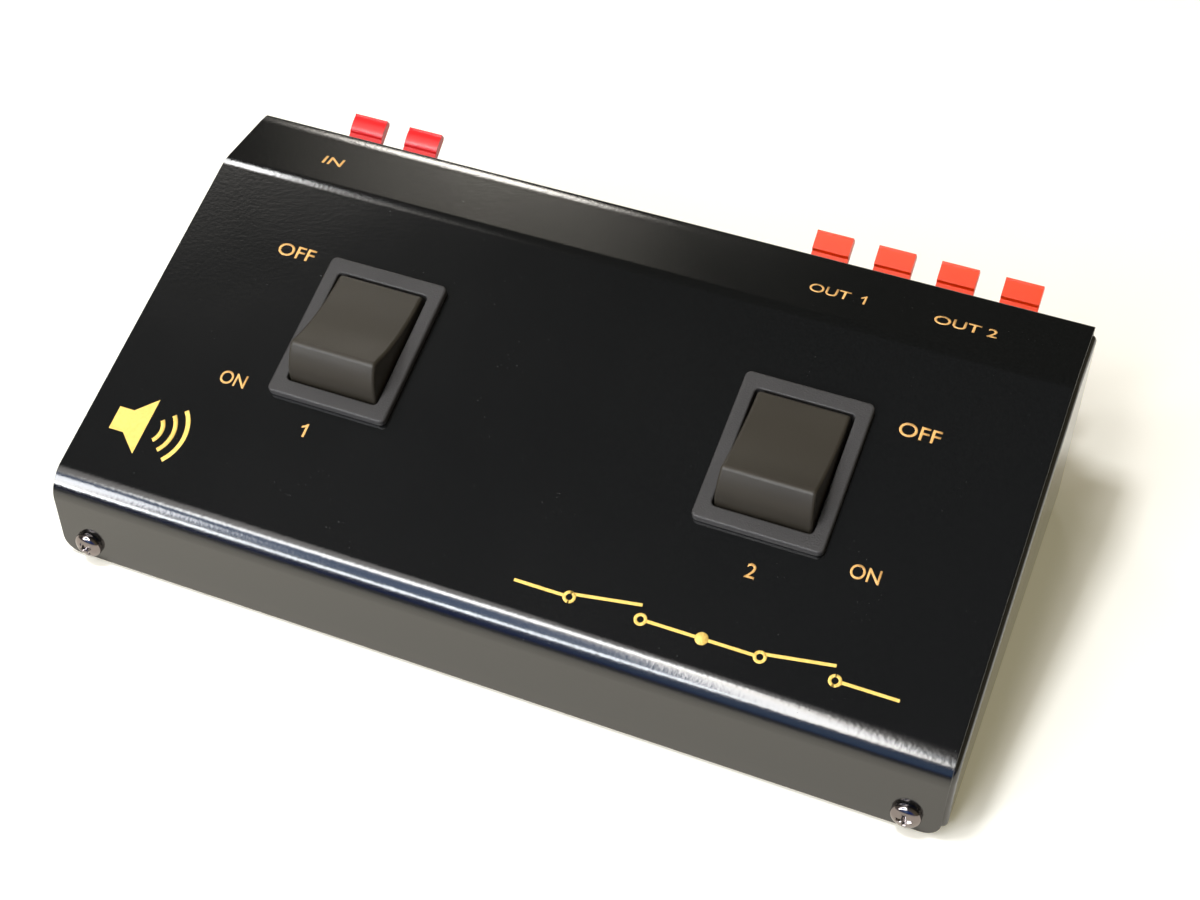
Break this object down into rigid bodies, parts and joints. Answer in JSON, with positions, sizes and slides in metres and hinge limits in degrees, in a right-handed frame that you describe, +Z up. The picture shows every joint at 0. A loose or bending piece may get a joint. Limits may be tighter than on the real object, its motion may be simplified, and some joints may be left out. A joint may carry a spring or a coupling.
{
  "type": "speaker selector switch",
  "caption": "Low wedge-fronted steel box with rocker switches on its sloping panel and sprung push terminals in its rear wall, for sending one amplifier to either pair of loudspeakers.",
  "frame": {"origin": "middle of the outline seen from above, on the plane that the feet stand on", "axes": "+X to the right along the panel, +Y to the rear where the terminals are, +Z up"},
  "size_m": [0.1818, 0.1093, 0.0468],
  "materials": {
    "cover_paint": "gloss black paint, slight orange peel",
    "tray_paint": "gloss black paint, slight orange peel",
    "black_screw": "black nickel, semi-gloss",
    "foot_rubber": "matt moulded rubber",
    "switch_plastic": "fine-grained satin",
    "rocker_plastic": "satin",
    "plunger_plastic": "satin, natural",
    "spring_steel": "bright wire and strip",
    "contact_metal": "tinned brass, satin",
    "block_plastic": "semi-gloss moulded",
    "board": "matt brown paper laminate",
    "nut_steel": "zinc plated",
    "red_plastic_in": "gloss crimson",
    "red_plastic_out": "gloss orange-red",
    "black_lever_plastic": "gloss",
    "wire_red": "satin insulation",
    "wire_black": "satin insulation"
  },
  "bodies": {
    "case": {"top_cover": "cover_paint", "base_tray": "tray_paint", "front_cover_screws": "black_screw", "rear_cover_screws": "black_screw", "rubber_feet": "foot_rubber", "switch_1_body": "switch_plastic", "switch_1_terminals": "contact_metal", "switch_2_body": "switch_plastic", "switch_2_terminals": "contact_metal", "input_terminal_housing": "block_plastic", "input_terminal_back_board": "board", "input_contact_strips": "contact_metal", "input_clamp_springs": "spring_steel", "input_terminal_screws": "black_screw", "input_terminal_nuts": "nut_steel", "output_terminal_housing": "block_plastic", "output_terminal_back_board": "board", "output_contact_strips": "contact_metal", "output_clamp_springs": "spring_steel", "output_terminal_screws": "black_screw", "output_terminal_nuts": "nut_steel", "input_positive_wires": "wire_red", "switch_link_wires": "wire_red", "switch_1_output_wires": "wire_red", "switch_2_output_wires": "wire_red", "common_negative_wires": "wire_black"},
    "switch_1_rocker": {"switch_1_rocker": "rocker_plastic", "switch_1_plungers": "plunger_plastic", "switch_1_plunger_springs": "spring_steel"},
    "switch_1_contacts": {"switch_1_contact_levers": "contact_metal"},
    "switch_2_rocker": {"switch_2_rocker": "rocker_plastic", "switch_2_plungers": "plunger_plastic", "switch_2_plunger_springs": "spring_steel"},
    "switch_2_contacts": {"switch_2_contact_levers": "contact_metal"},
    "input_red_lever_1": {"input_red_lever_1": "red_plastic_in"},
    "input_red_lever_2": {"input_red_lever_2": "red_plastic_in"},
    "input_black_lever_1": {"input_black_lever_1": "black_lever_plastic"},
    "input_black_lever_2": {"input_black_lever_2": "black_lever_plastic"},
    "output_red_lever_1": {"output_red_lever_1": "red_plastic_out"},
    "output_red_lever_2": {"output_red_lever_2": "red_plastic_out"},
    "output_red_lever_3": {"output_red_lever_3": "red_plastic_out"},
    "output_red_lever_4": {"output_red_lever_4": "red_plastic_out"},
    "output_black_lever_1": {"output_black_lever_1": "black_lever_plastic"},
    "output_black_lever_2": {"output_black_lever_2": "black_lever_plastic"},
    "output_black_lever_3": {"output_black_lever_3": "black_lever_plastic"},
    "output_black_lever_4": {"output_black_lever_4": "black_lever_plastic"}
  },
  "joints": [
    {"name": "switch_1_rock", "type": "hinge", "parent": "case", "child": "switch_1_rocker", "pos_m": [-0.044, -0.00841, 0.03502], "axis": [1, 0, 0], "range_deg": [0, 36]},
    {"name": "switch_1_make", "type": "hinge", "parent": "case", "child": "switch_1_contacts", "pos_m": [-0.044, -0.00412, 0.02337], "axis": [1, 0, 0], "range_deg": [-16, 0]},
    {"name": "switch_2_rock", "type": "hinge", "parent": "case", "child": "switch_2_rocker", "pos_m": [0.044, -0.00841, 0.03502], "axis": [1, 0, 0], "range_deg": [0, 36]},
    {"name": "switch_2_make", "type": "hinge", "parent": "case", "child": "switch_2_contacts", "pos_m": [0.044, -0.00412, 0.02337], "axis": [1, 0, 0], "range_deg": [-16, 0]},
    {"name": "input_red_lever_1_press", "type": "hinge", "parent": "case", "child": "input_red_lever_1", "pos_m": [-0.0726, 0.0427, 0.0313], "axis": [-1, 0, 0], "range_deg": [0, 24], "stiffness_Nm_per_rad": 0.02, "springref_deg": -28.65, "deforming": ["input_clamp_springs"]},
    {"name": "input_red_lever_2_press", "type": "hinge", "parent": "case", "child": "input_red_lever_2", "pos_m": [-0.0594, 0.0427, 0.0313], "axis": [-1, 0, 0], "range_deg": [0, 24], "stiffness_Nm_per_rad": 0.02, "springref_deg": -28.65},
    {"name": "input_black_lever_1_press", "type": "hinge", "parent": "case", "child": "input_black_lever_1", "pos_m": [-0.0726, 0.0427, 0.0171], "axis": [-1, 0, 0], "range_deg": [0, 24], "stiffness_Nm_per_rad": 0.02, "springref_deg": -28.65},
    {"name": "input_black_lever_2_press", "type": "hinge", "parent": "case", "child": "input_black_lever_2", "pos_m": [-0.0594, 0.0427, 0.0171], "axis": [-1, 0, 0], "range_deg": [0, 24], "stiffness_Nm_per_rad": 0.02, "springref_deg": -28.65},
    {"name": "output_red_lever_1_press", "type": "hinge", "parent": "case", "child": "output_red_lever_1", "pos_m": [0.0342, 0.0427, 0.0313], "axis": [-1, 0, 0], "range_deg": [0, 24], "stiffness_Nm_per_rad": 0.02, "springref_deg": -28.65, "deforming": ["output_clamp_springs"]},
    {"name": "output_red_lever_2_press", "type": "hinge", "parent": "case", "child": "output_red_lever_2", "pos_m": [0.0474, 0.0427, 0.0313], "axis": [-1, 0, 0], "range_deg": [0, 24], "stiffness_Nm_per_rad": 0.02, "springref_deg": -28.65},
    {"name": "output_red_lever_3_press", "type": "hinge", "parent": "case", "child": "output_red_lever_3", "pos_m": [0.0606, 0.0427, 0.0313], "axis": [-1, 0, 0], "range_deg": [0, 24], "stiffness_Nm_per_rad": 0.02, "springref_deg": -28.65},
    {"name": "output_red_lever_4_press", "type": "hinge", "parent": "case", "child": "output_red_lever_4", "pos_m": [0.0738, 0.0427, 0.0313], "axis": [-1, 0, 0], "range_deg": [0, 24], "stiffness_Nm_per_rad": 0.02, "springref_deg": -28.65},
    {"name": "output_black_lever_1_press", "type": "hinge", "parent": "case", "child": "output_black_lever_1", "pos_m": [0.0342, 0.0427, 0.0171], "axis": [-1, 0, 0], "range_deg": [0, 24], "stiffness_Nm_per_rad": 0.02, "springref_deg": -28.65},
    {"name": "output_black_lever_2_press", "type": "hinge", "parent": "case", "child": "output_black_lever_2", "pos_m": [0.0474, 0.0427, 0.0171], "axis": [-1, 0, 0], "range_deg": [0, 24], "stiffness_Nm_per_rad": 0.02, "springref_deg": -28.65},
    {"name": "output_black_lever_3_press", "type": "hinge", "parent": "case", "child": "output_black_lever_3", "pos_m": [0.0606, 0.0427, 0.0171], "axis": [-1, 0, 0], "range_deg": [0, 24], "stiffness_Nm_per_rad": 0.02, "springref_deg": -28.65},
    {"name": "output_black_lever_4_press", "type": "hinge", "parent": "case", "child": "output_black_lever_4", "pos_m": [0.0738, 0.0427, 0.0171], "axis": [-1, 0, 0], "range_deg": [0, 24], "stiffness_Nm_per_rad": 0.02, "springref_deg": -28.65}
  ],
  "couplings": [
    {"joint": "switch_1_make", "follows": "switch_1_rock", "ratio": -0.44444},
    {"joint": "switch_2_make", "follows": "switch_2_rock", "ratio": -0.44444}
  ]
}
